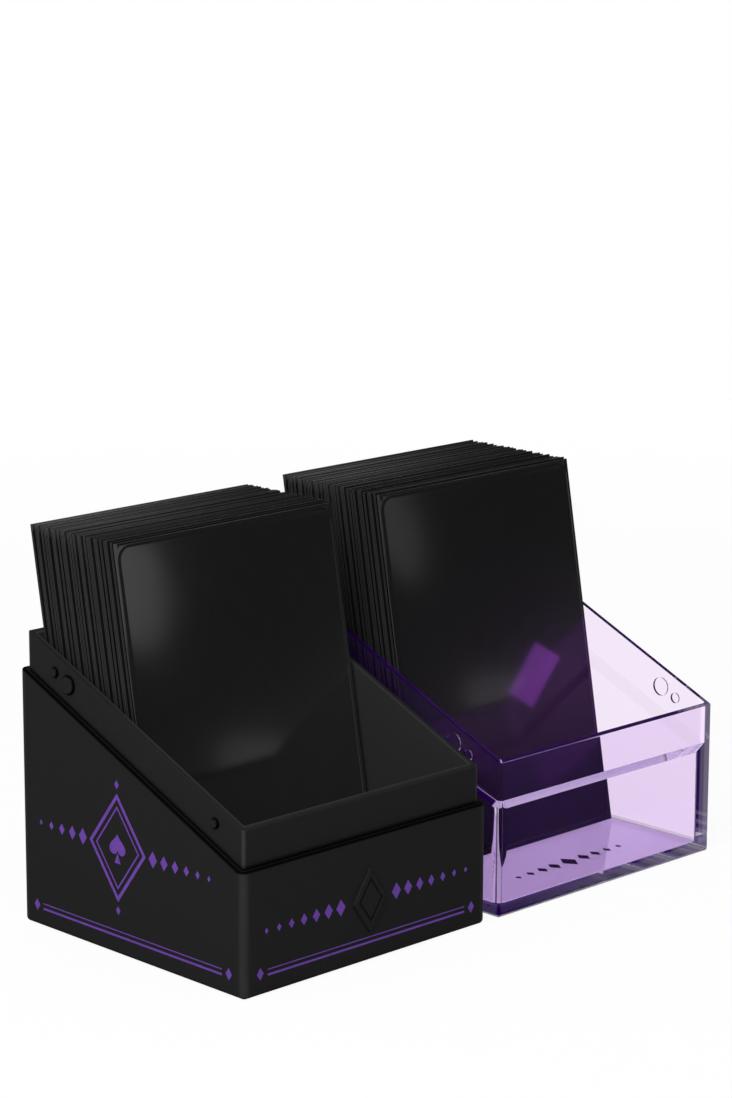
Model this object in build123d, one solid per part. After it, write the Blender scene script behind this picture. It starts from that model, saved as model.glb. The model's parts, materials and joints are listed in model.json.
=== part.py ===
from build123d import *
import math
import os

# Deck case in two halves: a base with a raised collar and a lid that slips over it.
# Both stand open beside each other, and each holds a leaning deck of sleeved cards.
# Millimetres. +X to the right, +Y to the back, +Z up. The origin is the middle of
# the base's underside.

# Closed case
case_width = 75.0
case_depth = 75.0
closed_height = 97.6
corner_radius = 1.3
foot_radius = 1.1
foot_share = 0.9

# Parting line between the halves, seen from the side
front_rim_height = 28.7
front_land = 2.3
rim_slope = 23.5

# Base: outer shell and the liner pressed into it, whose upper band is the collar
shell_wall = 1.4
shell_floor = 1.2
shell_rim_round = 0.35
liner_wall = 1.6
liner_floor = 1.4
liner_corner_radius = 0.4
liner_clearance = 0.05
collar_height = 8.8
collar_rim_round = 0.15

# Lid
lid_corner_radius = 0.8
lid_floor = 2.6
lid_wall = 2.8
lid_socket_radius = 0.5
lid_well_radius = 1.2
lid_well_round = 0.4
lid_rim_round = 0.2
lid_clearance = 0.15
lid_rim_gap = 0.1
socket_headroom = 0.9
shoulder_height = 3.0
stand_gap = 4.5

# Snap bumps on the collar's sides, and the dimples for them in the lid
stud_diameter = 2.2
button_diameter = 4.2
bump_height = 0.6
bump_bevel = 0.22
bump_rise = 5.1
front_stud_inset = 10.5
button_inset = 15.5
rear_stud_inset = 10.8
dimple_clearance = 0.2

# Lozenge badge in a shallow pocket of the front wall
badge_width = 10.4
badge_height = 15.0
badge_thickness = 1.2
badge_pocket_depth = 0.5
badge_clearance = 0.05
badge_middle_height = 14.4
badge_border = 1.5
badge_groove_width = 0.7
badge_groove_depth = 0.4
badge_bevel = 0.25

# Sleeved cards, as wide as the narrower tray leaves room for
deck_side_room = 1.45
sleeve_height = 91.0
sleeve_thickness = 0.7
weld_thickness = 0.22
weld_margin = 1.5
card_pitch = 1.13
card_lean = 10.0
card_wander = 0.45
wander_step = 2.4
lean_gap = 0.3
card_floor_gap = 0.3
base_card_count = 26
lid_card_count = 29

# Values that follow from those above
slope = math.tan(math.radians(rim_slope))
front = -case_depth / 2
back = case_depth / 2
side = case_width / 2
ledge = shell_wall + liner_clearance
base_floor = shell_floor + liner_floor
liner_inset = ledge + liner_wall
sleeve_width = case_width - 2 * (max(liner_inset, lid_wall) + deck_side_room)
collar_front = front + ledge
collar_front_height = front_rim_height + collar_height
lid_rim_wall = ledge - lid_clearance
lid_back_height = closed_height - front_rim_height - lid_rim_gap
lid_place = case_width + stand_gap
lean = math.radians(card_lean)
touch = 0.01
MIDDLE = (Align.CENTER, Align.CENTER, Align.MIN)


def shell_rim(y):
    """Height of the base shell's rim at a depth y."""
    return front_rim_height + slope * max(0.0, y - front - front_land)


def collar_rim(y):
    """Height of the collar's rim at a depth y: one plane, with no flat land."""
    return collar_front_height + slope * (y - collar_front)


def lid_rim(y):
    """Height of the standing lid's rim at a depth y, which mirrors the base shell's."""
    return lid_back_height - slope * max(0.0, back - front_land - y)


def runs_along(edge, rim):
    """True for an edge that follows a rim and doesn't cross the wall at the rim's kink."""
    points = [edge.position_at(share) for share in (0, 0.5, 1)]
    on_rim = all(abs(point.Z - rim(point.Y)) < touch for point in points)
    first, last = points[0], points[-1]
    inside_walls = all(abs(point.Y) < back - corner_radius for point in points)
    crosses = inside_walls and abs(first.Y - last.Y) < touch
    return on_rim and not crosses


def is_outer(edge):
    """True for an edge on the outer faces of a half, and not on its inner ones."""
    middle = edge.position_at(0.5)
    return max(abs(middle.X) - side, abs(middle.Y) - back) > -shell_wall / 2


def upright_block(width, depth, bottom, top, radius):
    """Block with rounded upright edges between two heights."""
    return Pos(0, 0, bottom) * extrude(RectangleRounded(width, depth, radius), top - bottom)


def above_line(points):
    """Everything above a line drawn in the side view, from before the front to past the back."""
    first, last = points[0], points[-1]
    ceiling = 2 * closed_height
    outline = [(first[0], ceiling), *points, (last[0], ceiling)]
    profile = make_face(Plane.YZ * Polyline(*outline, close=True))
    return extrude(profile, case_width, both=True)


def footed_block(height, radius):
    """Full-size outer block of one half, rounded along the edges that it stands on."""
    block = upright_block(case_width, case_depth, 0, height, radius)
    return fillet(block.faces().sort_by(Axis.Z)[0].edges(), min(foot_radius, foot_share * radius))


def snap_places():
    """Diameter and side-view place (depth, height) of each bump on the base's collar."""
    rows = (
        (stud_diameter, front + front_stud_inset),
        (button_diameter, back - button_inset),
        (stud_diameter, back - rear_stud_inset),
    )
    return [(diameter, depth, shell_rim(depth) + bump_rise) for diameter, depth in rows]


def peg(diameter, x, y, z, sign, length, bevel=0.0):
    """Short round peg that points left or right from a side wall's face."""
    cylinder = Cylinder(diameter / 2, length, align=MIDDLE)
    if bevel:
        cylinder = chamfer(cylinder.faces().sort_by(Axis.Z)[-1].edges(), bevel)
    return Pos(x, y, z) * Rot(0, 90 * sign, 0) * cylinder


def lozenge(width, height, depth, length):
    """Upright lozenge bar that runs from a depth to the back, centred on the badge."""
    corners = [(width / 2, 0), (0, height / 2), (-width / 2, 0), (0, -height / 2)]
    face = make_face(Polyline(*corners, close=True))
    placed = Plane(origin=(0, depth, badge_middle_height), x_dir=(1, 0, 0), z_dir=(0, 1, 0)) * face
    return extrude(placed, length)


def make_base_shell():
    """Outer tray of the base, with the slanted rim and the badge's pocket."""
    tray = footed_block(closed_height, corner_radius)
    inner_radius = liner_corner_radius + liner_clearance
    tray -= upright_block(
        case_width - 2 * shell_wall, case_depth - 2 * shell_wall, shell_floor, closed_height, inner_radius
    )
    land_end = front + front_land
    past_back = back + case_depth
    tray -= above_line(
        [(front - case_depth, front_rim_height), (land_end, front_rim_height), (past_back, shell_rim(past_back))]
    )
    rim = [edge for edge in tray.edges() if runs_along(edge, shell_rim) and is_outer(edge)]
    tray = fillet(rim, shell_rim_round)
    return tray - lozenge(
        badge_width + 2 * badge_clearance, badge_height + 2 * badge_clearance, front, badge_pocket_depth
    )


def make_base_liner():
    """Inner tray of the base. Its upper band stands above the shell as the collar."""
    outer_width = case_width - 2 * ledge
    outer_depth = case_depth - 2 * ledge
    liner = upright_block(outer_width, outer_depth, shell_floor, closed_height, liner_corner_radius)
    liner -= upright_block(
        outer_width - 2 * liner_wall, outer_depth - 2 * liner_wall, base_floor, closed_height, liner_corner_radius
    )
    past = case_depth
    liner -= above_line([(front - past, collar_rim(front - past)), (back + past, collar_rim(back + past))])
    rim_face = liner.faces().sort_by(Axis.Z)[-1]
    liner = fillet(rim_face.edges(), collar_rim_round)
    root = liner_wall / 2
    for diameter, y, z in snap_places():
        for sign in (-1, 1):
            face_x = sign * (side - ledge - root)
            liner += peg(diameter, face_x, y, z, sign, root + bump_height, bump_bevel)
    return liner


def make_front_badge():
    """Plain raised lozenge with a groove round its middle, seated in the front wall."""
    badge = lozenge(badge_width, badge_height, front + badge_pocket_depth - badge_thickness, badge_thickness)
    badge = chamfer(badge.faces().sort_by(Axis.Y)[0].edges(), badge_bevel)
    share = badge_height / badge_width
    groove_outer = badge_width - 2 * badge_border
    groove_inner = groove_outer - 2 * badge_groove_width
    face = front + badge_pocket_depth - badge_thickness
    groove = lozenge(groove_outer, groove_outer * share, face, badge_groove_depth)
    groove -= lozenge(groove_inner, groove_inner * share, face, badge_groove_depth)
    return badge - groove


def slanted_outline(inset, drop, radius):
    """Inside outline of the lid on a plane parallel to its slanted rim."""
    plane = Plane(
        origin=(0, 0, (lid_socket_height(front) + lid_socket_height(back)) / 2 - drop),
        x_dir=(1, 0, 0),
        z_dir=(0, -math.sin(math.radians(rim_slope)), math.cos(math.radians(rim_slope))),
    )
    depth_along = (case_depth - 2 * inset) / math.cos(math.radians(rim_slope))
    return plane * RectangleRounded(case_width - 2 * inset, depth_along, radius)


def lid_socket_height(y):
    """Height in the standing lid at which its socket for the collar ends."""
    return closed_height - collar_rim(-y) - socket_headroom


def make_lid():
    """Lid standing on its top: thick lower wall, sloped shoulder, thin wall for the collar."""
    lid = footed_block(closed_height, lid_corner_radius)
    socket = slanted_outline(lid_rim_wall, 0, lid_socket_radius)
    shoulder_foot = slanted_outline(lid_wall, shoulder_height, lid_well_radius)
    lid -= extrude(socket, closed_height, dir=(0, 0, 1))
    lid -= loft([socket.face(), shoulder_foot.face()], ruled=True)
    well = extrude(shoulder_foot, closed_height, dir=(0, 0, -1))
    well &= Pos(0, 0, lid_floor) * Box(case_width, case_depth, closed_height, align=MIDDLE)
    lid -= fillet(well.faces().sort_by(Axis.Z)[0].edges(), lid_well_round)
    before_front = front - case_depth
    past_back = back + case_depth
    land_start = back - front_land
    lid -= above_line(
        [(before_front, lid_rim(before_front)), (land_start, lid_back_height), (past_back, lid_back_height)]
    )
    lid = fillet([edge for edge in lid.edges() if runs_along(edge, lid_rim)], lid_rim_round)
    dimple_depth = bump_height
    root = lid_clearance
    for diameter, y, z in snap_places():
        for sign in (-1, 1):
            face_x = sign * (side - lid_rim_wall - root)
            lid -= peg(diameter + 2 * dimple_clearance, face_x, -y, closed_height - z, sign, root + dimple_depth)
    return Pos(lid_place, 0, 0) * lid


def make_sleeved_card():
    """One card in its film sleeve: full thickness over the card, thin along the welds."""
    card_width = sleeve_width - 2 * weld_margin
    card_height = sleeve_height - 2 * weld_margin
    sections = []
    for y, width, height in (
        (-sleeve_thickness / 2, card_width, card_height),
        (-weld_thickness / 2, sleeve_width, sleeve_height),
        (weld_thickness / 2, sleeve_width, sleeve_height),
        (sleeve_thickness / 2, card_width, card_height),
    ):
        plane = Plane(origin=(0, y, sleeve_height / 2), x_dir=(1, 0, 0), z_dir=(0, 1, 0))
        sections.append((plane * Rectangle(width, height)).face())
    return loft(sections, ruled=True)


def lay_deck(name, count, middle_x, floor, rim_y, rim_z):
    """Row of cards that lean back on a rim, each on the floor, numbered from the front."""
    card = make_sleeved_card()
    foot_z = floor + card_floor_gap + weld_thickness / 2 * math.sin(lean)
    reach = (rim_z - foot_z) * math.sin(lean) + sleeve_thickness / 2 + lean_gap
    rear_foot_y = rim_y - reach / math.cos(lean)
    cards = {}
    for number in range(1, count + 1):
        foot_y = rear_foot_y - (count - number) * card_pitch / math.cos(lean)
        shift = card_wander * math.sin(wander_step * (number - 1))
        cards[f"{name}_{number:02d}"] = Pos(middle_x + shift, foot_y, foot_z) * Rot(-card_lean, 0, 0) * card
    return cards


collar_back_inside = back - liner_inset
nodes = {
    "base_shell": make_base_shell(),
    "base_liner": make_base_liner(),
    "front_badge": make_front_badge(),
    "lid_shell": make_lid(),
    **lay_deck("base_card", base_card_count, 0, base_floor, collar_back_inside, collar_rim(collar_back_inside)),
    **lay_deck("lid_card", lid_card_count, lid_place, lid_floor, back - lid_rim_wall, lid_back_height),
}

os.makedirs("parts", exist_ok=True)
for node, shape in nodes.items():
    shape.label = node
    export_step(shape, f"parts/{node}.step")
    box = shape.bounding_box()
    print(f"{node}: {box.size.X:.2f} x {box.size.Y:.2f} x {box.size.Z:.2f} mm, {shape.volume:.1f} mm3")
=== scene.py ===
# %% [markdown]
# Dressing a deck case
#
# The case is two trays. The black base has a collar, and the clear violet lid slips over it. Here they
# stand open beside each other, each with a deck of cards in black film sleeves. The solids already
# have their true sizes and places, so this lesson only adds what the solids can't hold: finishes, thin
# films, printed ink, light and a camera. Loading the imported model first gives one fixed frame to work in.

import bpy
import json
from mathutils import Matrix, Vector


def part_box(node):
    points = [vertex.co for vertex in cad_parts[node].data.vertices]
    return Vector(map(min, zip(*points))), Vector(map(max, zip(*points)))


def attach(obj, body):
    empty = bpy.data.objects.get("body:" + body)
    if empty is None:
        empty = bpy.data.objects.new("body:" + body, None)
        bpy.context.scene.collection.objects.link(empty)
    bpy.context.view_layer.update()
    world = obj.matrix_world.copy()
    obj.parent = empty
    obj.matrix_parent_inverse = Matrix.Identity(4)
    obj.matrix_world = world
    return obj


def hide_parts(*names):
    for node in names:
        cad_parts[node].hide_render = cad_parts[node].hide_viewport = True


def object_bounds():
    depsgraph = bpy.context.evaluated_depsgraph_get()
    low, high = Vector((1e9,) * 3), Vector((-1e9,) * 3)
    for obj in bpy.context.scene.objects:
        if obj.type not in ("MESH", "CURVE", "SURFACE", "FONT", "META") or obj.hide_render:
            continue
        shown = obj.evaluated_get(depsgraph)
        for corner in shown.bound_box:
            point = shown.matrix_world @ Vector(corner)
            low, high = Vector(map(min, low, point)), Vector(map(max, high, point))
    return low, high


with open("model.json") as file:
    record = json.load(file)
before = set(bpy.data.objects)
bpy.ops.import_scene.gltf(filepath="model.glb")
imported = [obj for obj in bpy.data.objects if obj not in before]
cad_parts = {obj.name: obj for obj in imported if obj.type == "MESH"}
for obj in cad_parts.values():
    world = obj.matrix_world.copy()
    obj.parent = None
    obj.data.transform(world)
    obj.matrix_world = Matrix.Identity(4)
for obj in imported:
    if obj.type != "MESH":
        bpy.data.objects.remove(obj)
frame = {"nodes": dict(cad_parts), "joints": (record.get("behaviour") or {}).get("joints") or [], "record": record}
cad_low, cad_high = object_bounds()
print("CAD box from", list(cad_low), "to", list(cad_high))

# %% [markdown]
# Every size below is a real one. Blender counts in metres, and a case like this is easier to think of in
# millimetres, so lengths are written as a number times MM.

# %% Units and imports
import json
import math

import bmesh
import bpy
from mathutils import Matrix, Quaternion, Vector

MM = 0.001
print("one millimetre is", MM, "of Blender's units")

# %% [markdown]
# The camera comes first, because every look is judged through it. The picture was taken with a long lens
# from the front left, a little above the table. The place, heading and dip below put the case's corners
# on the same points of the picture, so the camera needs no shift.

# %% Camera
camera_place = Vector((-495.17, -542.62, 251.34)) * MM
camera_heading = math.radians(44.36)
camera_dip = math.radians(12.545)
camera_roll = math.radians(0.177)
lens_length = 109.75


def add_camera():
    """Camera at the photograph's place, with its long lens."""
    data = bpy.data.cameras.new("camera")
    data.lens = lens_length
    camera = bpy.data.objects.new("camera", data)
    bpy.context.scene.collection.objects.link(camera)
    level = math.cos(camera_dip)
    forward = Vector((
        math.sin(camera_heading) * level,
        math.cos(camera_heading) * level,
        -math.sin(camera_dip),
    ))
    turn = forward.to_track_quat("-Z", "Y") @ Quaternion((0, 0, 1), camera_roll)
    camera.location = camera_place
    camera.rotation_euler = turn.to_euler()
    return camera


bpy.context.scene.camera = add_camera()
print("camera stands", round(camera_place.length, 3), "m from the base")

# %% [markdown]
# Materials are small programs made of nodes. Wiring them by hand is slow to read, so one class wraps a
# socket: arithmetic on it adds Math nodes, and one method adds any other node, with its settings first
# and then its sockets. The same class wires the Geometry Nodes further down.

# %% Wire class


class Wire:
    """A socket in a node tree. Operators add Math nodes, and node() adds any other node."""

    def __init__(self, tree, socket=None):
        self.tree = tree
        self.socket = socket

    def node(self, kind, settings=None, sockets=None, output=0):
        """Adds a node, sets it up, fills its sockets and returns one of its outputs."""
        made = self.tree.nodes.new(kind)
        for name, value in (settings or {}).items():
            setattr(made, name, value)
        for name, value in (sockets or {}).items():
            self.fill(self.find(made.inputs, name), value)
        if not made.outputs:
            return None
        return Wire(self.tree, self.find(made.outputs, output))

    @staticmethod
    def find(sockets, name):
        """A socket by its place, or the first one in use with that name."""
        if isinstance(name, int):
            return sockets[name]
        return next(socket for socket in sockets if socket.enabled and socket.name == name)

    def fill(self, target, value):
        """Links a wire into a socket, or writes a plain value there."""
        if isinstance(value, Wire):
            self.tree.links.new(value.socket, target)
        else:
            target.default_value = value

    def math(self, operation, first, second=0.0):
        """One Math node on two values."""
        return self.node("ShaderNodeMath", {"operation": operation}, {0: first, 1: second})

    def __add__(self, other):
        return self.math("ADD", self, other)

    __radd__ = __add__

    def __sub__(self, other):
        return self.math("SUBTRACT", self, other)

    def __rsub__(self, other):
        return self.math("SUBTRACT", other, self)

    def __mul__(self, other):
        return self.math("MULTIPLY", self, other)

    __rmul__ = __mul__

    def __abs__(self):
        return self.math("ABSOLUTE", self)


print("wire class ready")

# %% [markdown]
# A finish needs a few things again and again: the place on the object and its axes, a noise at a size in
# millimetres, a soft step, a bump and a mix of two colours. Object coordinates are used throughout,
# because each object sits at the origin and its place is in its mesh, so a pattern stays put when the
# piece moves.

# %% Finish helpers


def new_finish(name):
    """An empty material and a wire to build it with."""
    material = bpy.data.materials.new(name)
    material.use_nodes = True
    material.node_tree.nodes.clear()
    return material, Wire(material.node_tree)


def object_place(wire):
    """The point being shaded, in metres."""
    return wire.node("ShaderNodeTexCoord", output="Object")


def axes_of(wire, vector):
    """A vector's three axes, each by itself."""
    outputs = wire.node("ShaderNodeSeparateXYZ", sockets={"Vector": vector}).socket.node.outputs
    return [Wire(wire.tree, output) for output in outputs]


def stretched(wire, place, scale):
    """The same point with its axes scaled, so that a noise is drawn out one way."""
    return wire.node("ShaderNodeMapping", sockets={"Vector": place, "Scale": scale})


def noise(wire, place, size, detail=2.0, roughness=0.5):
    """Noise from 0 to 1 whose spots are about this size."""
    sockets = {"Vector": place, "Scale": 1.0 / size, "Detail": detail, "Roughness": roughness}
    return wire.node("ShaderNodeTexNoise", sockets=sockets)


def soft_step(wire, value, low, high):
    """0 below low, 1 above high, smooth between."""
    settings = {"interpolation_type": "SMOOTHSTEP"}
    sockets = {"Value": value, "From Min": low, "From Max": high}
    return wire.node("ShaderNodeMapRange", settings, sockets)


def mix_colours(wire, factor, first, second):
    """One colour turning into another as factor goes from 0 to 1."""
    settings = {"data_type": "RGBA"}
    return wire.node("ShaderNodeMix", settings, {"Factor": factor, "A": first, "B": second}, "Result")


def bump(wire, height, distance, strength):
    """A normal bent by a height from 0 to 1 that stands for this distance."""
    sockets = {"Height": height, "Distance": distance, "Strength": strength}
    return wire.node("ShaderNodeBump", sockets=sockets)


def finish_surface(wire, sockets):
    """Ends a material in one Principled shader."""
    shader = wire.node("ShaderNodeBsdfPrincipled", sockets=sockets)
    wire.node("ShaderNodeOutputMaterial", sockets={"Surface": shader})


def grey(level):
    """A neutral colour."""
    return (level, level, level, 1.0)


def about_zero(noise_value):
    """A noise moved down, so that it adds as often as it takes away."""
    return noise_value - 0.5


print("finish helpers ready")

# %% [markdown]
# The base, its liner and the badge are moulded in black plastic. Up close it has a fine spark-eroded
# grain, faint cloudy patches where it was handled, and edges rubbed a little smoother and paler; on the
# upright corners that paleness is also a painted highlight. The mould's grain is a bump, the patches move
# the roughness, and the edge mask is worked out from how near a point lies to the upright corners, because
# the case is a plain square block. The inside of the liner is painted paler, as painted light. Where the
# collar rises from the shell's slanted rim, painted shade darkens both pieces in the seam, by height above
# that rim. A ring of painted shade does the same round the foot of each stud.

# %% Black plastic
shell_low, shell_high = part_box("base_shell")
liner_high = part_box("base_liner")[1]
grain_size = 0.28 * MM
grain_depth = 0.012 * MM
grain_gloss = 0.08
patch_size = 22 * MM
patch_gloss = 0.14
scuff_size = 1.6 * MM
scuff_stretch = (1.0, 1.0, 0.2)
scuff_band = (0.58, 0.8)
scuff_wear = 0.12
rub_least = 0.55
rub_gloss = 0.08
fade_share = 1 / 3
liner_wall = 1.6 * MM
front_rim_height = 28.7 * MM
front_land = 2.3 * MM
rim_slope = math.tan(math.radians(23.5))
ring_width = 0.45 * MM
# Painted shade: the near-black colour laid into the seam and round the stud feet.
painted_seam_shade = grey(0.0006)


def painted_foot_shade(wire, depth, height, stud):
    """Painted shade round a stud, where its foot meets the wall."""
    radius, stud_depth, stud_height = stud
    sideways = depth - stud_depth
    upward = height - stud_height
    away = wire.math("SQRT", sideways * sideways + upward * upward)
    inner_fade = soft_step(wire, away, radius - ring_width, radius)
    outer_fade = soft_step(wire, away, radius + ring_width, radius)
    return inner_fade * outer_fade


def black_plastic(name, tone, inside_painted_light_tone, worn_and_highlight_tone, roughness, corner, rub_width, seam, studs=()):
    """Grained black plastic: corners worn paler as a painted highlight too, painted light inside, painted shade at
    seam and studs.
    """
    material, wire = new_finish(name)
    place = object_place(wire)
    sideways, depth, height = axes_of(wire, place)
    across, along = abs(sideways), abs(depth)
    climb = rim_slope * wire.math("MAXIMUM", depth - (shell_low.y + front_land), 0.0)
    above_rim = height - (climb + front_rim_height)
    widest = wire.math("MAXIMUM", across, along)
    outside = soft_step(wire, widest, corner - liner_wall, corner - fade_share * liner_wall)
    rubbed = soft_step(wire, across + along, 2 * corner - rub_width, 2 * corner - fade_share * rub_width)
    patches = noise(wire, place, patch_size, detail=3.0)
    scuffs = noise(wire, stretched(wire, place, scuff_stretch), scuff_size, detail=3.0, roughness=0.6)
    scuffed = soft_step(wire, scuffs, *scuff_band)
    grain = noise(wire, place, grain_size)
    # Rubbed wear at the upright corners, paler; this paleness is also a painted highlight on the corners.
    wear_and_highlight = rubbed * (rub_least + (1.0 - rub_least) * scuffs) + scuff_wear * scuffed
    # Inside the liner the tone is painted paler, as painted light on walls the lamps hardly reach.
    plain = mix_colours(wire, outside, grey(inside_painted_light_tone), grey(tone))
    colour = mix_colours(wire, wear_and_highlight, plain, grey(worn_and_highlight_tone))
    # Painted shade in the seam, by height above the shell's slanted rim, and round each stud's foot.
    shaded = soft_step(wire, above_rim, *seam)
    for stud in studs:
        shaded = wire.math("MAXIMUM", shaded, painted_foot_shade(wire, depth, height, stud))
    matt = roughness + patch_gloss * about_zero(patches) + grain_gloss * about_zero(grain)
    finish_surface(wire, {
        "Base Color": mix_colours(wire, shaded * outside, colour, painted_seam_shade),
        "Roughness": matt - rub_gloss * rubbed,
        "Specular IOR Level": 0.05,
        "Normal": bump(wire, grain, grain_depth, strength=0.5),
    })
    return material


# Height bands above the shell's rim over which the painted seam shade fades in.
shell_seam_shade = (-0.5 * MM, -0.1 * MM)
collar_seam_shade = (1.5 * MM, 0.0)
no_seam_shade = (shell_high.z, 2 * shell_high.z)
stud_rise = 5.1 * MM
stud_rows = ((1.1 * MM, -27.0 * MM), (2.1 * MM, 22.0 * MM), (1.1 * MM, 26.7 * MM))
collar_studs = []
for stud_radius, stud_depth in stud_rows:
    rim_height = front_rim_height + rim_slope * (stud_depth - shell_low.y - front_land)
    collar_studs.append((stud_radius, stud_depth, rim_height + stud_rise))
shell_black = black_plastic(
    "shell_black", tone=0.014, inside_painted_light_tone=0.014, worn_and_highlight_tone=0.027, roughness=0.5,
    corner=shell_high.x, rub_width=2.2 * MM, seam=shell_seam_shade,
)
liner_black = black_plastic(
    "liner_black", tone=0.0145, inside_painted_light_tone=0.03, worn_and_highlight_tone=0.038, roughness=0.46,
    corner=liner_high.y, rub_width=0.9 * MM, seam=collar_seam_shade, studs=collar_studs,
)
badge_black = black_plastic(
    "badge_black", tone=0.014, inside_painted_light_tone=0.014, worn_and_highlight_tone=0.024, roughness=0.3,
    corner=shell_high.x, rub_width=2.2 * MM, seam=no_seam_shade,
)


def dress(node, material):
    """Gives a CAD node its finish."""
    slots = frame["nodes"][node].data.materials
    slots.clear()
    slots.append(material)


dress("base_shell", shell_black)
dress("base_liner", liner_black)
dress("front_badge", badge_black)
print("black plastic on the base, its liner and the badge")

# %% [markdown]
# The lid is clear plastic with a violet tint. In the picture a thick wall is no deeper in colour than a
# thin one, only the number of walls counts, so the tint sits on the surfaces and the volume stays empty:
# light loses a little green at each face that it crosses. A tinted mirror and a thin violet sheen give
# dark things behind a wall their deep violet. Light runs along inside the walls before it leaves at a
# rim, which takes a few more mirrored bounces than Blender allows by itself. Where the right wall or the
# floor is seen end on, this light has met many faces. The ends there have no sheen, and a faint painted
# grey glow that fades towards the black base, which keeps the light off. The floor's ends are painted duller, as
# painted shade.

# %% Clear violet plastic
surface_tint = (0.95, 0.85, 1.0, 1.0)
mirror_tint = (0.1, 0.03, 0.25, 1.0)
bloom_tint = (0.3, 0.02, 1.0, 1.0)
foot_shade_tint = (0.42, 0.41, 0.4, 1.0)
painted_end_glow = (0.07, 0.066, 0.078, 1.0)
lid_low, lid_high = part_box("lid_shell")
lid_half = (lid_high.x - lid_low.x) / 2
lid_wall = 2.8 * MM
lid_floor = 2.6 * MM
corner_band = (lid_half - 1.5 * lid_wall, lid_half - 1.3 * lid_wall)
foot_band = (1.1 * lid_floor, lid_floor)
skin_band = (lid_half - 0.6 * MM, lid_half - 0.4 * MM)
haze_size = 6 * MM
haze_gloss = 0.003
hairline_size = 0.5 * MM
hairline_stretch = (1.0, 0.25, 0.04)
hairline_band = (0.62, 0.75)
hairline_gloss = 0.006
clear_bounces = 12


def lid_offset(wire, place):
    """How far a point lies to the right of the lid's middle, and how far behind it."""
    middle = (lid_low + lid_high) / 2
    offset = wire.node("ShaderNodeVectorMath", {"operation": "SUBTRACT"}, {0: place, 1: middle})
    return axes_of(wire, offset)[:2]


def wall_ends(wire, place):
    """Masks for the right wall's and the floor's ends, for the floor's alone, and from left to right."""
    rightward, backward = lid_offset(wire, place)
    along = abs(backward)
    height = axes_of(wire, place)[2]
    at_corner = soft_step(wire, wire.math("MINIMUM", rightward, along), *corner_band)
    at_foot = soft_step(wire, height, *foot_band)
    outside = soft_step(wire, wire.math("MAXIMUM", abs(rightward), along), *skin_band)
    at_end = wire.math("MAXIMUM", at_corner, at_foot) * outside
    return at_end, at_foot, soft_step(wire, rightward, -lid_half, lid_half)


def clear_violet():
    """Tinted clear plastic with faint hairlines from handling, with a painted grey glow and painted shade where it
    is seen end on.
    """
    material, wire = new_finish("lid_violet")
    place = object_place(wire)
    haze = noise(wire, place, haze_size, detail=3.0)
    hairlines = noise(wire, stretched(wire, place, hairline_stretch), hairline_size)
    marked = soft_step(wire, hairlines, *hairline_band)
    clear = {
        "Base Color": surface_tint,
        "Roughness": haze_gloss * haze + hairline_gloss * marked,
        "IOR": 1.45,
        "Transmission Weight": 1.0,
        "Specular Tint": mirror_tint,
    }
    sheen = {"Sheen Weight": 0.2, "Sheen Roughness": 0.5, "Sheen Tint": bloom_tint}
    at_end, at_foot, free = wall_ends(wire, place)
    # Painted light: a grey emission on the ends, fading from the left, stands for light run along inside the
    # walls.
    glow = {"Emission Color": mix_colours(wire, free, grey(0.0), painted_end_glow), "Emission Strength": 1.0}
    # Painted shade: the floor's ends get a darker, greyer tint.
    dull = {"Base Color": mix_colours(wire, at_foot, surface_tint, foot_shade_tint)}
    walls = wire.node("ShaderNodeBsdfPrincipled", sockets={**clear, **sheen})
    ends = wire.node("ShaderNodeBsdfPrincipled", sockets={**clear, **dull, **glow})
    both = wire.node("ShaderNodeMixShader", sockets={0: at_end, 1: walls, 2: ends})
    wire.node("ShaderNodeOutputMaterial", sockets={"Surface": both})
    return material


def allow_bounces(count):
    """Lets light go through and along the clear walls often enough."""
    cycles = bpy.context.scene.cycles
    cycles.max_bounces = count
    cycles.glossy_bounces = count // 2
    cycles.transmission_bounces = count


dress("lid_shell", clear_violet())
allow_bounces(clear_bounces)
print("violet tint on the lid's surfaces")

# %% [markdown]
# A sleeve is a bag of two films, welded down both sides and along the foot and open at the top, with a
# card inside. The films lie flat on the card and drop to the weld around it, so the card's rounded
# outline shows through. The bag is a grid of points for each film, with close rows near the edges where
# the film bends and wide rows over the flat middle. Down both sides the two films end in lips with a
# groove between them, which is why a deck's side shows two fine lines for each sleeve. Solidify then
# gives the film its thickness.

# %% Sleeve
sleeve_width = 66 * MM
sleeve_height = 91 * MM
film = 0.1 * MM
pocket_half = 0.33 * MM
mouth_half = 0.22 * MM
mouth_flare = 0.08 * MM
flare_height = 2.5 * MM
drape = 0.4 * MM
lip_share = 0.5
card_thickness = 0.3 * MM
card_side_margin = 1.1 * MM
card_top_margin = 1.2 * MM
card_foot_margin = 1.4 * MM
card_corner = 3 * MM
card_width = sleeve_width - 2 * card_side_margin
card_height = sleeve_height - card_top_margin - card_foot_margin
card_middle = (card_foot_margin - card_top_margin) / 2
crease_angle = math.radians(50)


def smooth(share):
    """A soft step from 0 to 1."""
    share = min(1.0, max(0.0, share))
    return share * share * (3 - 2 * share)


def outside_card(x, z):
    """Distance of a point of the film outside the card's rounded outline, negative inside."""
    beyond_x = abs(x) - card_width / 2 + card_corner
    beyond_z = abs(z - card_middle) - card_height / 2 + card_corner
    outer = math.hypot(max(beyond_x, 0), max(beyond_z, 0))
    return outer + min(max(beyond_x, beyond_z), 0) - card_corner


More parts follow.
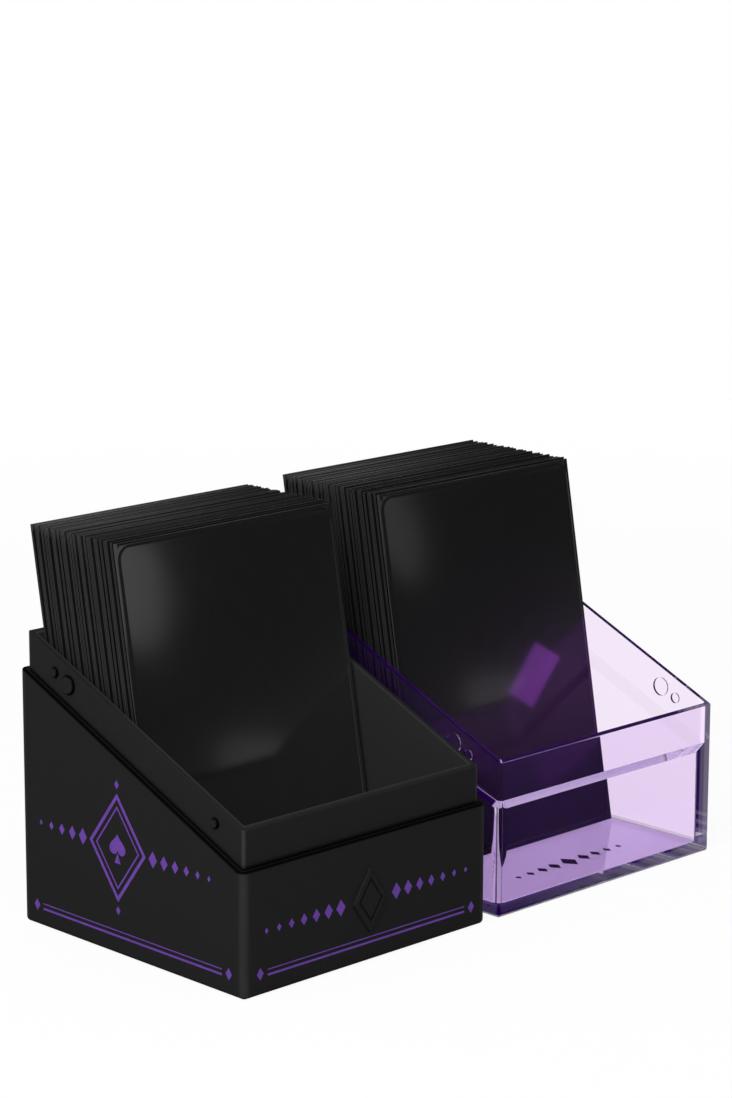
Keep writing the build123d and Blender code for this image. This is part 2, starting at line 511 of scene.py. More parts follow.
def film_lift(x, z, weld_half):
    """How far a film stands from the sleeve's middle plane."""
    drop = smooth(outside_card(x, z) / drape)
    lift = pocket_half + (weld_half - pocket_half) * drop
    at_mouth = smooth((z - card_middle - card_height / 2) / card_top_margin)
    at_side = smooth((sleeve_width / 2 - abs(x) - card_side_margin / 2) / card_side_margin)
    flare = mouth_flare * smooth((z - sleeve_height / 2 + flare_height) / flare_height)
    return max(lift, mouth_half * at_mouth * at_side) + flare * at_side


def stations(half, edge, fine_step, middle_count):
    """Places from -half to half, close together within an edge's width of both ends."""
    fine_count = round(edge / fine_step)
    ends = [half - index * fine_step for index in range(fine_count + 1)]
    inner = ends[-1]
    middle = [inner - 2 * inner * index / middle_count for index in range(1, middle_count)]
    return [-place for place in ends] + sorted(middle) + ends[::-1]


def add_bag(shape, columns, rows, weld_half, groove):
    """Two films as grids of points, joined at the foot by a strip and at the sides by a grooved weld."""
    def upright(x, lift):
        return [shape.verts.new((x, lift(x, z), z)) for z in rows]

    def film_at(side, share=1.0):
        return lambda x, z: side * share * film_lift(x, z, weld_half)

    front = [upright(x, film_at(-1)) for x in columns]
    rear = [upright(x, film_at(1)) for x in columns]
    ring = list(front)
    for sign in (1, -1):
        edge = sign * columns[-1]
        ring.append(upright(edge, film_at(-sign, lip_share)))
        ring.append(upright(edge - sign * groove, lambda x, z: 0.0))
        ring.append(upright(edge, film_at(sign, lip_share)))
        if sign > 0:
            ring.extend(reversed(rear))
    for first, second in zip(ring, ring[1:] + ring[:1]):
        for j in range(len(rows) - 1):
            shape.faces.new((first[j], second[j], second[j + 1], first[j + 1]))
    shape.faces.new([line[0] for line in reversed(ring)])


def card_outline(corner_steps):
    """Points round the card's rounded outline."""
    points = []
    for quarter in range(4):
        turn = quarter * math.pi / 2
        sign_x = 1 if quarter in (0, 3) else -1
        sign_z = 1 if quarter in (0, 1) else -1
        middle_x = sign_x * (card_width / 2 - card_corner)
        middle_z = card_middle + sign_z * (card_height / 2 - card_corner)
        for step in range(corner_steps + 1):
            angle = turn + step / corner_steps * math.pi / 2
            x = middle_x + card_corner * math.cos(angle)
            z = middle_z + card_corner * math.sin(angle)
            points.append((x, z))
    return points


def add_card(shape, corner_steps):
    """A flat card with rounded corners in the middle of the bag."""
    outline = card_outline(corner_steps)
    front = [shape.verts.new((x, -card_thickness / 2, z)) for x, z in outline]
    rear = [shape.verts.new((x, card_thickness / 2, z)) for x, z in outline]
    faces = [shape.faces.new(front), shape.faces.new(rear[::-1])]
    for index in range(len(outline)):
        following = (index + 1) % len(outline)
        faces.append(shape.faces.new((front[index], rear[index], rear[following], front[following])))
    return faces


def build_mesh(name, fill_shape):
    """A new object whose mesh is filled by a function."""
    mesh = bpy.data.meshes.new(name)
    shape = bmesh.new()
    fill_shape(shape)
    shape.to_mesh(mesh)
    shape.free()
    made = bpy.data.objects.new(name, mesh)
    bpy.context.scene.collection.objects.link(made)
    return made


def settle(made):
    """Turns an object with modifiers into a plain mesh at the origin."""
    depsgraph = bpy.context.evaluated_depsgraph_get()
    mesh = bpy.data.meshes.new_from_object(made.evaluated_get(depsgraph), depsgraph=depsgraph)
    made.modifiers.clear()
    made.data = mesh
    return made


def make_sleeve(name, weld_half, groove, edge, fine_step, middle_columns, middle_rows, corner_steps):
    """One sleeve with its card, standing upright round the origin."""
    columns = stations(sleeve_width / 2, edge, fine_step, middle_columns)
    rows = stations(sleeve_height / 2, edge, fine_step, middle_rows)
    bag = build_mesh(name, lambda shape: add_bag(shape, columns, rows, weld_half, groove))
    wall = bag.modifiers.new("film", "SOLIDIFY")
    wall.thickness = film
    wall.offset = -1.0
    settle(bag)
    shape = bmesh.new()
    shape.from_mesh(bag.data)
    is_card = shape.faces.layers.bool.new("is_card")
    for face in shape.faces:
        face.smooth = True
    for face in add_card(shape, corner_steps):
        face[is_card] = True
    across = shape.verts.layers.float.new("across")
    upward = shape.verts.layers.float.new("upward")
    for vert in shape.verts:
        vert[across] = vert.co.x / (sleeve_width / 2)
        vert[upward] = vert.co.z / (sleeve_height / 2)
    shape.to_mesh(bag.data)
    shape.free()
    bag.data.set_sharp_from_angle(angle=crease_angle)
    return bag


deck_sleeve = make_sleeve(
    "deck_sleeve", weld_half=0.27 * MM, groove=1.0 * MM, edge=3.6 * MM, fine_step=0.6 * MM,
    middle_columns=5, middle_rows=6, corner_steps=4,
)
front_sleeve = make_sleeve(
    "front_sleeve", weld_half=0.14 * MM, groove=0.1 * MM, edge=4.8 * MM, fine_step=0.2 * MM,
    middle_columns=14, middle_rows=18, corner_steps=8,
)
print("deck sleeve:", len(deck_sleeve.data.polygons), "faces; front sleeve:", len(front_sleeve.data.polygons))

# %% [markdown]
# The film is black with a satin face. It picks up soft grey reflections, has a very fine embossed
# texture, and shows faint upright streaks where the sleeve slid against its neighbours. Its cut edges are
# paler, at the sides and at the mouth, partly as cut edges and partly as a painted highlight. The card
# inside shows only its edge, in the sleeve's open mouth.

# %% Film and card finishes
emboss_size = 0.22 * MM
emboss_depth = 0.002 * MM
streak_size = 1.1 * MM
streak_stretch = (1.0, 1.0, 0.05)
cloud_size = 18 * MM
satin = 0.13
satin_change = 0.04
film_tones = (0.0066, 0.0088)
# Paler edge tones: partly the film's cut edge, partly a painted highlight where the edges catch the light.
side_edge_and_highlight_tone = 0.04
top_edge_and_highlight_tone = 0.024
edge_band = (0.9965, 0.999)
fibre_size = 0.3 * MM
fibre_depth = 0.02 * MM
fibre_stretch = (0.2, 2.0, 0.2)
stock_tones = (0.004, 0.012)
stock_matt = 0.65
stock_change = 0.2


def black_film():
    """Satin black film with fine embossing, faint upright streaks and pale edges, partly a painted highlight."""
    material, wire = new_finish("sleeve_film")
    place = object_place(wire)
    emboss = noise(wire, place, emboss_size, detail=1.0)
    streaks = noise(wire, stretched(wire, place, streak_stretch), streak_size, detail=3.0, roughness=0.6)
    clouds = noise(wire, place, cloud_size)
    across = wire.node("ShaderNodeAttribute", {"attribute_name": "across"}, output="Fac")
    upward = wire.node("ShaderNodeAttribute", {"attribute_name": "upward"}, output="Fac")
    side_edge = soft_step(wire, abs(across), *edge_band)
    top_edge = soft_step(wire, upward, *edge_band)
    plain = mix_colours(wire, streaks, *map(grey, film_tones))
    edged = mix_colours(wire, side_edge, plain, grey(side_edge_and_highlight_tone))
    finish_surface(wire, {
        "Base Color": mix_colours(wire, top_edge, edged, grey(top_edge_and_highlight_tone)),
        "Roughness": satin + satin_change * about_zero(streaks) + satin_change * about_zero(clouds),
        "Specular IOR Level": 0.07,
        "Normal": bump(wire, emboss, emboss_depth, strength=0.3),
    })
    return material


def card_stock():
    """Dark card with layered paper fibres along its edge."""
    material, wire = new_finish("card_stock")
    place = object_place(wire)
    fibres = noise(wire, stretched(wire, place, fibre_stretch), fibre_size, detail=3.0)
    finish_surface(wire, {
        "Base Color": mix_colours(wire, fibres, *map(grey, stock_tones)),
        "Roughness": stock_matt + stock_change * about_zero(fibres),
        "Specular IOR Level": 0.2,
        "Normal": bump(wire, fibres, fibre_depth, strength=0.4),
    })
    return material


sleeve_film = black_film()
sleeve_card = card_stock()
print("film and card stock finishes ready")

# %% [markdown]
# A deck repeats one sleeve dozens of times, which is work for Geometry Nodes. The points are the middles
# of the CAD cards, so each sleeve stands where its solid is. The tree sets a sleeve on each point, leans
# it back, tips and lifts it by a small seeded amount, and bows it a little, because no two sleeves in a
# real deck lie quite alike. Realize Instances at the end makes one plain mesh for the body to carry.

# %% Deck tree
arch_fade = 0.5


def new_tree(name, inputs):
    """A geometry tree with named inputs, their identifiers for a modifier, and their wires."""
    tree = bpy.data.node_groups.new(name, "GeometryNodeTree")
    tree.is_modifier = True
    tree.interface.new_socket("Geometry", in_out="OUTPUT", socket_type="NodeSocketGeometry")
    identifiers = {}
    for label, kind in inputs.items():
        socket = tree.interface.new_socket(label, in_out="INPUT", socket_type="NodeSocket" + kind)
        identifiers[label] = socket.identifier
    group = tree.nodes.new("NodeGroupInput")
    given = {label: Wire(tree, group.outputs[label]) for label in inputs}
    return tree, identifiers, given


def run_tree(piece, tree, identifiers, values):
    """Runs a tree on a piece with these inputs, and leaves a plain mesh."""
    modifier = piece.modifiers.new(tree.name, "NODES")
    modifier.node_group = tree
    for label, value in values.items():
        modifier[identifiers[label]] = value
    return settle(piece)


def deck_tree():
    """Geometry Nodes that stand a sleeve on each point."""
    tree, identifiers, given = new_tree("deck", {
        "Points": "Geometry",
        "Sleeve": "Object",
        "Lean": "Float",
        "Tip": "Float",
        "Lift": "Float",
        "Bow least": "Float",
        "Bow most": "Float",
        "Seed": "Int",
        "Film": "Material",
        "Card": "Material",
    })
    wire = Wire(tree)

    def chance(low, high, identity):
        """A seeded number for each point, between two values."""
        seed = given["Seed"] + identity
        return wire.node("FunctionNodeRandomValue", {"data_type": "FLOAT"},
                         {"Min": low, "Max": high, "Seed": seed}, "Value")

    sine = wire.math("SINE", given["Lean"])
    cosine = wire.math("COSINE", given["Lean"])
    upward = wire.node("ShaderNodeCombineXYZ", sockets={"Y": sine, "Z": cosine})
    lift = wire.node("ShaderNodeVectorMath", {"operation": "SCALE"},
                     {"Vector": upward, "Scale": chance(0.0, given["Lift"], 1)})
    raised = wire.node("GeometryNodeSetPosition", sockets={"Geometry": given["Points"], "Offset": lift})
    tipped = chance(0.0 - given["Tip"], given["Tip"], 2) - given["Lean"]
    turn = wire.node("ShaderNodeCombineXYZ", sockets={"X": tipped, "Y": 0.0, "Z": 0.0})
    sleeve = wire.node("GeometryNodeObjectInfo", sockets={"Object": given["Sleeve"]}, output="Geometry")
    stood = wire.node("GeometryNodeInstanceOnPoints",
                      sockets={"Points": raised, "Instance": sleeve, "Rotation": turn})
    bow = chance(given["Bow least"], given["Bow most"], 3)
    named = wire.node("GeometryNodeStoreNamedAttribute", {"domain": "INSTANCE", "data_type": "FLOAT"},
                      {"Geometry": stood, "Name": "bow", "Value": bow})
    solid = wire.node("GeometryNodeRealizeInstances", sockets={"Geometry": named})
    kept = {}
    for name in ("bow", "across", "upward"):
        kept[name] = wire.node("GeometryNodeInputNamedAttribute", {"data_type": "FLOAT"}, {"Name": name})
    arch = (1.0 - kept["across"] * kept["across"]) * (1.0 - arch_fade * kept["upward"] * kept["upward"])
    outward = wire.node("ShaderNodeCombineXYZ", sockets={"Y": 0.0 - cosine, "Z": sine})
    push = wire.node("ShaderNodeVectorMath", {"operation": "SCALE"},
                     {"Vector": outward, "Scale": kept["bow"] * arch})
    bowed = wire.node("GeometryNodeSetPosition", sockets={"Geometry": solid, "Offset": push})
    filmed = wire.node("GeometryNodeSetMaterial", sockets={"Geometry": bowed, "Material": given["Film"]})
    is_card = wire.node("GeometryNodeInputNamedAttribute", {"data_type": "BOOLEAN"}, {"Name": "is_card"})
    carded = wire.node("GeometryNodeSetMaterial",
                       sockets={"Geometry": filmed, "Selection": is_card, "Material": given["Card"]})
    wire.node("NodeGroupOutput", sockets={"Geometry": carded})
    return tree, identifiers


deck_nodes, deck_inputs = deck_tree()
print("deck tree has", len(deck_nodes.nodes), "nodes")

# %% [markdown]
# Each deck moves on two bodies: its front card can be drawn by itself, and the rest lift out together.
# So each deck is two pieces. The lean comes from the joint that lifts the deck, which runs along the
# cards. The sleeves stray a little less to the side than the solids, which leaves an even dark gap between
# them. The front sleeve has nothing before it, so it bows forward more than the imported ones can.

# %% Decks
bodies = frame["record"]["behaviour"]["bodies"]
lift_axis = next(joint["axis"] for joint in frame["joints"] if joint["name"] == "base_deck_lift")
deck_lean = math.atan2(lift_axis[1], lift_axis[2])
stray_share = 0.5


def stand_sleeves(name, body, sleeve, settings):
    """One piece with a sleeve on the middle of each card of a body."""
    cards = sorted(bodies[body])
    middles = [sum(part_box(card), Vector()) / 2 for card in cards]
    line = sum(middle.x for middle in middles) / len(middles)
    for middle in middles:
        middle.x = line + stray_share * (middle.x - line)
    piece = build_mesh(name, lambda shape: [shape.verts.new(middle) for middle in middles])
    values = {"Sleeve": sleeve, "Lean": deck_lean, "Film": sleeve_film, "Card": sleeve_card, **settings}
    run_tree(piece, deck_nodes, deck_inputs, values)
    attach(piece, body)
    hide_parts(*cards)
    print(name, "has", len(cards), "sleeves and", len(piece.data.polygons), "faces")
    return piece


packed = {"Tip": math.radians(0.08), "Lift": 0.35 * MM, "Bow least": -0.1 * MM, "Bow most": 0.1 * MM}
leading = {"Tip": 0.0, "Lift": 0.0, "Bow least": 0.9 * MM, "Bow most": 0.9 * MM}
base_deck = stand_sleeves("base_deck_sleeves", "base_deck", deck_sleeve, {**packed, "Seed": 4})
base_front = stand_sleeves("base_front_sleeve", "base_front_card", front_sleeve, {**leading, "Seed": 5})
lid_deck = stand_sleeves("lid_deck_sleeves", "lid_deck", deck_sleeve, {**packed, "Seed": 6})
lid_front = stand_sleeves("lid_front_sleeve", "lid_front_card", front_sleeve, {**leading, "Seed": 7})
for pattern in (deck_sleeve, front_sleeve):
    bpy.data.objects.remove(pattern)

# %% [markdown]
# The base carries an ornament in violet ink, and the lid's floor a small one in black. Print is a layer a
# few hundredths of a millimetre thick. A shader could paint it, but thin raised shapes keep crisp edges
# at any size and catch the light at their rim. Each wall has a frame of its own: across, up and outward,
# so a flat drawing in millimetres lands on the wall it belongs to.

# %% Walls and ink
ink_proud = 0.03 * MM
ink_sunk = 0.02 * MM
cover_size = 3 * MM
speckle_size = 0.15 * MM
speckle_depth = 0.005 * MM
ink_matt = 0.42
speckle_gloss = 0.15


def wall_frame(middle, across, up):
    """Matrix from a drawing, in millimetres across, up and outward, to a wall."""
    across, up = Vector(across), Vector(up)
    turn = Matrix((across, up, across.cross(up))).transposed()
    return Matrix.Translation(middle) @ turn.to_4x4()


left_wall = wall_frame((shell_low.x, 0, 0), (0, -1, 0), (0, 0, 1))
front_wall = wall_frame((0, shell_low.y, 0), (1, 0, 0), (0, 0, 1))
lid_inside = wall_frame(((lid_low.x + lid_high.x) / 2, 0, lid_floor), (1, 0, 0), (0, 1, 0))


def ink(name, thin, thick):
    """Screen ink that covers a little unevenly."""
    material, wire = new_finish(name)
    place = object_place(wire)
    cover = noise(wire, place, cover_size, detail=3.0)
    speckle = noise(wire, place, speckle_size, detail=1.0)
    finish_surface(wire, {
        "Base Color": mix_colours(wire, cover, thin, thick),
        "Roughness": ink_matt + speckle_gloss * about_zero(speckle),
        "Specular IOR Level": 0.15,
        "Normal": bump(wire, speckle, speckle_depth, strength=0.3),
    })
    return material


violet_ink = ink("violet_ink", thin=(0.105, 0.036, 0.27, 1.0), thick=(0.143, 0.053, 0.345, 1.0))
dark_ink = ink("dark_ink", thin=(0.010, 0.004, 0.018, 1.0), thick=(0.016, 0.007, 0.028, 1.0))
print("wall frames and two inks ready")

# %% [markdown]
# The larger figures are drawn once, so mesh code makes them: an outline is raised into a thin prism, and
# a ring is an outline with a smaller copy taken out. The medallion is two lozenge rings round a spade,
# whose blade is the well-known heart curve turned over.

# %% Drawn figures
spade_steps = 40
spade_scale = 0.17


def raise_figure(shape, frame_of_wall, outline, hole=None):
    """Thin prism on a wall from an outline in millimetres, with a matching hole if there is one."""
    def corners(points, height):
        return [shape.verts.new(frame_of_wall @ Vector((x * MM, y * MM, height))) for x, y in points]

    def join(first, second):
        for index in range(len(first)):
            following = (index + 1) % len(first)
            shape.faces.new((first[index], first[following], second[following], second[index]))

    top = corners(outline, ink_proud)
    foot = corners(outline, -ink_sunk)
    join(foot, top)
    if hole is None:
        shape.faces.new(top)
        shape.faces.new(foot[::-1])
        return
    inner_top = corners(hole, ink_proud)
    inner_foot = corners(hole, -ink_sunk)
    join(top, inner_top)
    join(inner_top, inner_foot)
    join(inner_foot, foot)


def lozenge(middle, half_width, half_height):
    """Corners of an upright lozenge."""
    x, y = middle
    return [(x + half_width, y), (x, y + half_height), (x - half_width, y), (x, y - half_height)]


def lozenge_ring(shape, frame_of_wall, middle, half_width, half_height, stroke):
    """Lozenge outline of an even stroke."""
    share = 1.0 - stroke * math.hypot(1 / half_width, 1 / half_height)
    hole = lozenge(middle, half_width * share, half_height * share)
    raise_figure(shape, frame_of_wall, lozenge(middle, half_width, half_height), hole)


def spade(middle):
    """Outline of a spade's blade: the heart curve, upside down."""
    points = []
    for step in range(spade_steps):
        turn = -2 * math.pi * step / spade_steps
        x = 16 * math.sin(turn) ** 3
        y = 13 * math.cos(turn) - 5 * math.cos(2 * turn) - 2 * math.cos(3 * turn) - math.cos(4 * turn)
        points.append((middle[0] - spade_scale * x, middle[1] - spade_scale * y))
    return points


def stripe(shape, frame_of_wall, reach, height, stroke):
    """Level line, centred on a wall."""
    low, high = height - stroke / 2, height + stroke / 2
    raise_figure(shape, frame_of_wall, [(-reach, low), (reach, low), (reach, high), (-reach, high)])


def print_piece(name, body, material, made):
    """Finishes a printed piece and lets it ride on its body."""
    made.data.materials.clear()
    made.data.materials.append(material)
    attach(made, body)
    print(name, "has", len(made.data.polygons), "faces")


medallion_middle = (-4.0, 25.0)
outer_ring = {"half_width": 9.6, "half_height": 12.6, "stroke": 0.8}
inner_ring = {"half_width": 7.4, "half_height": 9.7, "stroke": 0.4}
spade_rise = 0.4
stem_half = 1.0
stem_foot, stem_top = -3.6, -1.2
stripe_reach = 30.5
stripe_low, stripe_high = 4.4, 5.6
broad_stroke, fine_stroke = 0.5, 0.25


def draw_stripes(shape, frame_of_wall):
    """A broad and a fine stripe along the foot of a wall."""
    stripe(shape, frame_of_wall, stripe_reach, stripe_low, broad_stroke)
    stripe(shape, frame_of_wall, stripe_reach, stripe_high, fine_stroke)


def draw_side(shape):
    """Medallion and two stripes on the left wall."""
    for ring in (outer_ring, inner_ring):
        lozenge_ring(shape, left_wall, medallion_middle, **ring)
    x, y = medallion_middle
    raise_figure(shape, left_wall, spade((x, y + spade_rise)))
    stem = [(x - stem_half, y + stem_foot), (x + stem_half, y + stem_foot), (x, y + stem_top)]
    raise_figure(shape, left_wall, stem)
    draw_stripes(shape, left_wall)


def draw_front(shape):
    """Two stripes on the front wall, below the badge."""
    draw_stripes(shape, front_wall)


print_piece("side_figures", "base", violet_ink, build_mesh("side_figures", draw_side))
print_piece("front_figures", "base", violet_ink, build_mesh("front_figures", draw_front))

# %% [markdown]
# A chain of small lozenges runs from the medallion to both sides, another from the badge, and a short one
# lies on the lid's floor. They differ only in place and size, which is what instances are for: each
# point carries its own stretch, the tree sets one lozenge on it, and Realize Instances makes the mesh.

# %% Chains
chain_shape = 1.4


def chain_tree():
    """Geometry Nodes that set a figure on each point, stretched by the point's own attribute."""
    tree, identifiers, given = new_tree("chain", {
        "Points": "Geometry",
        "Figure": "Object",
        "Turn": "Vector",
        "Ink": "Material",
    })
    wire = Wire(tree)
    figure = wire.node("GeometryNodeObjectInfo", sockets={"Object": given["Figure"]}, output="Geometry")
    stretch = wire.node("GeometryNodeInputNamedAttribute", {"data_type": "FLOAT_VECTOR"}, {"Name": "stretch"})
    placed = wire.node("GeometryNodeInstanceOnPoints", sockets={
        "Points": given["Points"], "Instance": figure, "Rotation": given["Turn"], "Scale": stretch,
    })
    solid = wire.node("GeometryNodeRealizeInstances", sockets={"Geometry": placed})
    inked = wire.node("GeometryNodeSetMaterial", sockets={"Geometry": solid, "Material": given["Ink"]})
    wire.node("NodeGroupOutput", sockets={"Geometry": inked})
    return tree, identifiers


chain_nodes, chain_inputs = chain_tree()
unit_lozenge = build_mesh(
    "unit_lozenge",
    lambda shape: raise_figure(shape, Matrix.Identity(4), lozenge((0, 0), 0.5, 0.5 * chain_shape)),
)


def run_of(start, step, count, large, small):
    """Places along a line from a start, with sizes that shrink evenly."""
    rows = []
    for index in range(count):
        share = index / (count - 1)
        rows.append((start[0] + index * step, start[1], large + (small - large) * share))
    return rows


def chain(name, body, frame_of_wall, rows, material):
    """One piece with a lozenge on each (across, up, size) of a wall."""
    def fill(shape):
        stretch = shape.verts.layers.float_vector.new("stretch")
        for across, up, size in rows:
            vert = shape.verts.new(frame_of_wall @ Vector((across * MM, up * MM, 0)))
            vert[stretch] = (size, size, 1.0)

    values = {"Figure": unit_lozenge, "Turn": frame_of_wall.to_euler(), "Ink": material}
    made = run_tree(build_mesh(name, fill), chain_nodes, chain_inputs, values)
    print_piece(name, body, material, made)


chain_step = 3.7
large_lozenge, small_lozenge = 2.8, 1.0
end_lozenge, end_gap = 2.0, 2.2
tip_lozenge, tip_gap = 1.5, 14.6
medallion_gap, badge_gap = 12.0, 8.6
right_count, left_count, badge_count = 6, 5, 7
middle_x, middle_y = medallion_middle
stripe_middle = (stripe_low + stripe_high) / 2
stripe_ends = [(sign * (stripe_reach + end_gap), stripe_middle, end_lozenge) for sign in (-1, 1)]
side_rows = stripe_ends + [(middle_x, middle_y + sign * tip_gap, tip_lozenge) for sign in (-1, 1)]
for sign, count in ((1, right_count), (-1, left_count)):
    start = (middle_x + sign * medallion_gap, middle_y)
    side_rows += run_of(start, sign * chain_step, count, large_lozenge, small_lozenge)
badge_low, badge_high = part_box("front_badge")
badge_height = (badge_low.z + badge_high.z) / 2 / MM
front_rows = list(stripe_ends)
for sign in (-1, 1):
    start = (sign * badge_gap, badge_height)
    front_rows += run_of(start, sign * chain_step, badge_count, large_lozenge, small_lozenge)
lid_line, lid_middle_lozenge = -24.0, 4.2
lid_gap, lid_step, lid_count = 5.2, 4.2, 4
lid_large, lid_small = 3.0, 1.4
lid_rows = [(0.0, lid_line, lid_middle_lozenge)]
for sign in (-1, 1):
    lid_rows += run_of((sign * lid_gap, lid_line), sign * lid_step, lid_count, lid_large, lid_small)
chain("side_chain", "base", left_wall, side_rows, violet_ink)
chain("front_chain", "base", front_wall, front_rows, violet_ink)
chain("lid_chain", "lid", lid_inside, lid_rows, dark_ink)
bpy.data.objects.remove(unit_lozenge)

# %% [markdown]
# The studio is plain: a pale floor, a big soft lamp overhead, and a white surround. The surround and the
# floor are shown white to the camera and to glass through the Light Path node, while the lamps stay at a
# plain level, so white never comes from more light on the object. Mirrors see the floor white far away
# and, as painted shade, dim near the case. The floor keeps part of its own shading, and with it the soft
# shadow under the case. Seen through the lid, the floor below it is a painted pool of violet light. The
# stage is large, so its sizes are plain metres.

# %% Floor and surround
floor_reach = 8.0
floor_drop = 0.05 * MM
floor_corners = 64
floor_tone = 0.9
mottle_size = 30 * MM
mottle_change = 0.02
near_white = 0.92
near_reach = 0.15
far_reach = 0.7
mirror_reach = (0.3, 1.2)
mirrored_floor_shade = 0.08
painted_light_share = 0.75
painted_violet_light = (0.72, 0.60, 0.88, 1.0)
surround_light = 0.45
studio_dark = 0.12
inner_share = 0.4
backdrop_band = (0.0, 0.6)
ceiling_band = (0.15, 0.5)
stage_middle = Vector(((cad_low.x + cad_high.x) / 2, 0.0, 0.0))


def light_paths(wire):
    """For rays: 1 from the camera, 1 through glass, 1 from a mirror, 1 after any mirror, and 0 otherwise."""
    outputs = wire.node("ShaderNodeLightPath").socket.node.outputs
    names = ("Is Camera Ray", "Is Transmission Ray", "Is Glossy Ray", "Glossy Depth")
    camera, through, glossy, depth = [Wire(wire.tree, outputs[name]) for name in names]
    return camera, through, glossy, wire.math("MINIMUM", depth, 1.0)


def under_lid(wire, place):
    """1 on the floor below the lid, 0 elsewhere."""
    across, along = map(abs, lid_offset(wire, place))
    return soft_step(wire, wire.math("MAXIMUM", across, along), lid_half + MM, lid_half - MM)


def floor_finish():
    """Pale floor with a faint mottle: white seen directly, a painted pool of violet light through the lid, painted
    shade near the case in mirrors.
    """
    material, wire = new_finish("floor")
    place = object_place(wire)
    camera, through, glossy, bounced = light_paths(wire)
    mottle = noise(wire, place, mottle_size, detail=3.0)
    away = wire.node("ShaderNodeVectorMath", {"operation": "DISTANCE"}, {0: place, 1: stage_middle}, "Value")
    pool = through * under_lid(wire, place)
    near = near_white + (1.0 - near_white) * soft_step(wire, away, near_reach, far_reach)
    far = soft_step(wire, away, *mirror_reach)
    direct = camera + through * (1.0 - bounced)
    mirrored = wire.math("MAXIMUM", glossy, through * bounced)
    # Painted light: under the lid, rays through the glass see a violet emission, the painted pool of light.
    share = (direct * near + mirrored * far) * (1.0 - pool) + pool * painted_light_share
    colour = mix_colours(wire, mottle, grey(floor_tone - mottle_change), grey(floor_tone + mottle_change))
    # Painted shade in reflections: after a mirror bounce the floor near the case turns near-black.
    colour = mix_colours(wire, bounced * (1.0 - pool), colour, grey(mirrored_floor_shade))
    shaded = wire.node("ShaderNodeBsdfDiffuse", sockets={"Color": colour})
    light = mix_colours(wire, pool, grey(1.0), painted_violet_light)
    white = wire.node("ShaderNodeEmission", sockets={"Color": light, "Strength": 1.0})
    both = wire.node("ShaderNodeMixShader", sockets={0: share, 1: shaded, 2: white})
    wire.node("ShaderNodeOutputMaterial", sockets={"Surface": both})
    return material


def add_floor():
    """Flat round floor just under the case."""
    def fill(shape):
        bmesh.ops.create_circle(shape, cap_ends=True, segments=floor_corners, radius=floor_reach)
        bmesh.ops.translate(shape, verts=shape.verts, vec=(0, 0, -floor_drop))

    floor = build_mesh("floor", fill)
    floor.data.materials.append(floor_finish())


def add_surround():
    """White surround where it is seen directly, dim in front for mirrors, even grey light for the rest."""
    world = bpy.data.worlds.new("surround")
    bpy.context.scene.world = world
    world.use_nodes = True
    world.node_tree.nodes.clear()
    wire = Wire(world.node_tree)
    camera, through, glossy, bounced = light_paths(wire)
    heading = wire.node("ShaderNodeTexCoord", output="Generated")
    backward, upward = axes_of(wire, heading)[1:]
    backdrop = soft_step(wire, backward, *backdrop_band)
    ceiling = soft_step(wire, upward, *ceiling_band)
    studio = studio_dark + (1.0 - studio_dark) * backdrop * (1.0 - ceiling)
    mirrored = wire.math("MAXIMUM", glossy, through * bounced * inner_share)
    seen = camera + through * (1.0 - bounced) + mirrored * studio
    spread = 1.0 - wire.math("MINIMUM", camera + through + glossy, 1.0)
    light = mix_colours(wire, seen + spread * surround_light, grey(0.0), grey(1.0))
    sky = wire.node("ShaderNodeBackground", sockets={"Color": light, "Strength": 1.0})
    wire.node("ShaderNodeOutputWorld", sockets={"Surface": sky})


add_floor()
add_surround()
print("floor and surround in place")

# %% [markdown]
# One big softbox from the upper left gives the even, soft light. A satin film also needs something to
# mirror. Small softboxes stand where the front sleeves reflect them: two give the gleam in their upper
# left corners, and two a streak over the mirrored rim. Below that rim a sleeve mirrors the walls of its
# tray, grey in the base and violet in the lid with one bright patch, which lamps just inside the walls
# stand for. One more lamp over each deck brightens the left end of its top. Light linking keeps each small
# lamp to its own piece, so that none leaves a second gleam elsewhere.

# %% Lamps
clear_white = (1.0, 1.0, 1.0)
thrown_violet = (0.57, 0.10, 1.0)
wall_room = 3.3 * MM
front_rim = 37 * MM
front_glow = 16 * MM
side_glow = 26 * MM
case_span = shell_high.x - shell_low.x
deck_top = Vector((0.0, 23.5, 140.0)) * MM
top_glow_size = 6 * MM
top_glow_power = 0.13


def softbox(name, place, aim, width, height, power, colour=clear_white, roll=0.0, only=None,
            shape="RECTANGLE"):
    """A flat lamp that faces a point, and lights one piece alone if it is given."""
    data = bpy.data.lights.new(name, "AREA")
    data.shape = shape
    data.size = width
    data.size_y = height
    data.energy = power
    data.color = colour
    lamp = bpy.data.objects.new(name, data)
    bpy.context.scene.collection.objects.link(lamp)
    lamp.location = place
    facing = (Vector(aim) - Vector(place)).to_track_quat("-Z", "Y")
    lamp.rotation_euler = (facing @ Quaternion((0, 0, 1), roll)).to_euler()
    lamp.visible_camera = False
    if only is not None:
        lit = bpy.data.collections.new(name)
        lit.objects.link(only)
        lamp.light_linking.receiver_collection = lit


def gleam(name, piece, point, reach, width, height, power, colour=clear_white, roll=0.0, shape="ELLIPSE"):
    """A small lamp that the camera sees as a soft gleam at a point of a front sleeve."""
    point = Vector(point) * MM
    sight = (point - camera_place).normalized()
    outward = Vector((0, -math.cos(deck_lean), math.sin(deck_lean)))
    place = point + reach * MM * sight.reflect(outward)
    softbox(name, place, point, width * MM, height * MM, power, colour, roll, piece, shape)


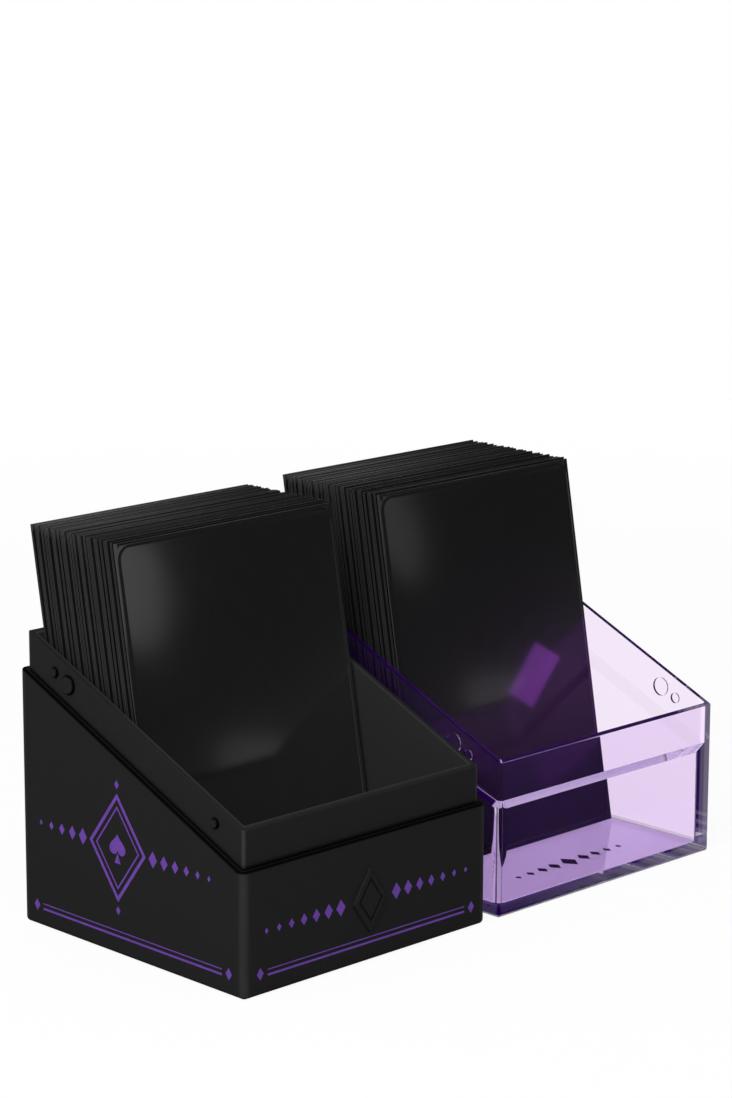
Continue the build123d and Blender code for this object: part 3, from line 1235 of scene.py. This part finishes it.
def wall_glow(name, piece, low, high, strength, colour):
    """Two lamps just inside a tray's front and right walls, seen only by the sleeve that mirrors them."""
    front_place = Vector(((low.x + high.x) / 2, low.y + wall_room, front_rim - front_glow / 2))
    softbox(name + "_front", front_place, front_place + Vector((0, 1, 0)), case_span, front_glow,
            strength * case_span * front_glow, colour, only=piece)
    rim_angle = math.atan(rim_slope)
    rim_middle = front_rim + rim_slope * case_span / 2
    side_place = Vector((high.x - wall_room, 0.0, rim_middle - side_glow / 2 / math.cos(rim_angle)))
    softbox(name + "_side", side_place, side_place - Vector((1, 0, 0)), case_span, side_glow,
            strength * case_span * side_glow, colour, rim_angle, piece)


def top_glow(name, piece, left):
    """A small lamp over the left end of a deck, which the lifted deck hides inside itself."""
    place = deck_top + Vector((left, 0, 0))
    softbox(name, place, place - Vector((0, 0, 1)), top_glow_size, top_glow_size, top_glow_power, only=piece)


softbox("overhead", place=(-0.6, -0.28, 0.88), aim=(0.04, 0.0, 0.03), width=0.7, height=0.7, power=10.0)
gleam("base_gleam", base_front, (-51.0, 9.0, 91.5), reach=240, width=40, height=56, power=0.04)
gleam("lid_gleam", lid_front, (33.0, 6.5, 90.0), reach=240, width=24, height=44, power=0.009)
gleam("base_streak", base_front, (-1.0, 0.0, 38.5), reach=200, width=40, height=14, power=0.0045,
      roll=math.radians(-12))
gleam("lid_streak", lid_front, (79.0, -1.6, 38.5), reach=200, width=44, height=14, power=0.0045,
      roll=math.radians(-14))
top_glow("base_top_glow", base_deck, -25 * MM)
top_glow("lid_top_glow", lid_deck, 54 * MM)
wall_glow("base_walls", base_front, shell_low, shell_high, strength=1.7, colour=clear_white)
wall_glow("lid_walls", lid_front, lid_low, lid_high, strength=5.3, colour=thrown_violet)
gleam("violet_patch", lid_front, (90.9, -1.1, 42.5), reach=20, width=7.5, height=15, power=0.005,
      colour=thrown_violet, roll=math.radians(-44), shape="RECTANGLE")
print("lamps in place")

# %% [markdown]
# The view transform is the plain one, so that a colour shows as it was mixed.

# %% View transform
bpy.context.scene.view_settings.view_transform = "Standard"
